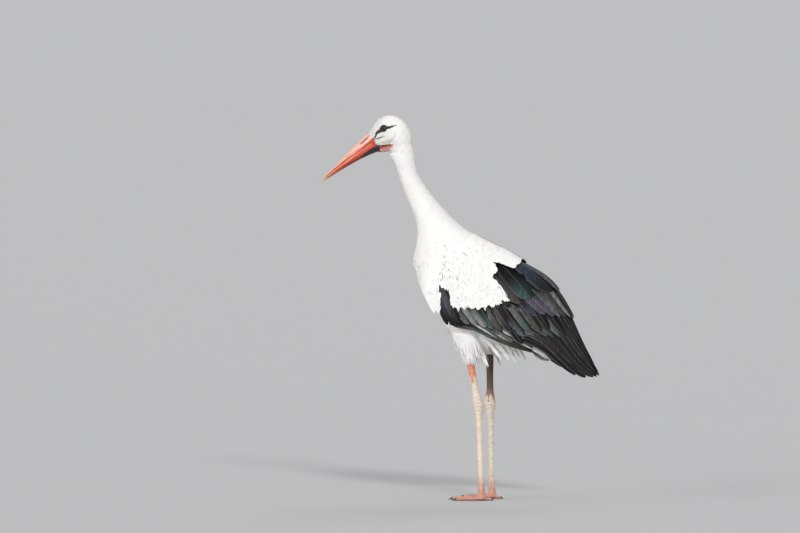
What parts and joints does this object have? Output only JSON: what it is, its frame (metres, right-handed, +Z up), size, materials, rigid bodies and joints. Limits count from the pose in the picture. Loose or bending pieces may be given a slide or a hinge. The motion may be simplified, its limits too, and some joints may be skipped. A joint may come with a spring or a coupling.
{
  "type": "white stork",
  "caption": "Life-size white stork standing at rest on both feet, wings folded and bill lowered, as a still museum model.",
  "frame": {"origin": "on the floor under the middle of the bird's length, on its plane of symmetry", "axes": "+Z up, the bird faces -X, its left side is -Y"},
  "size_m": [0.7216, 0.178, 0.9235],
  "materials": {
    "white_plumage": "matt white feathers",
    "wing_plumage": "black flight feathers with a faint gloss, white coverts",
    "bill_horn": "satin orange-red horn",
    "leg_skin": "scaly pinkish-red skin",
    "eye": "glossy dark eye"
  },
  "bodies": {
    "root": {"head": "white_plumage", "neck_upper": "white_plumage", "neck_lower": "white_plumage", "torso": "white_plumage", "thigh_left": "white_plumage", "thigh_right": "white_plumage", "tail": "white_plumage", "wing_left": "wing_plumage", "wing_right": "wing_plumage", "bill_upper": "bill_horn", "bill_lower": "bill_horn", "shank_left": "leg_skin", "shank_right": "leg_skin", "tarsus_left": "leg_skin", "tarsus_right": "leg_skin", "foot_left": "leg_skin", "foot_right": "leg_skin", "eye_left": "eye", "eye_right": "eye"}
  },
  "joints": []
}
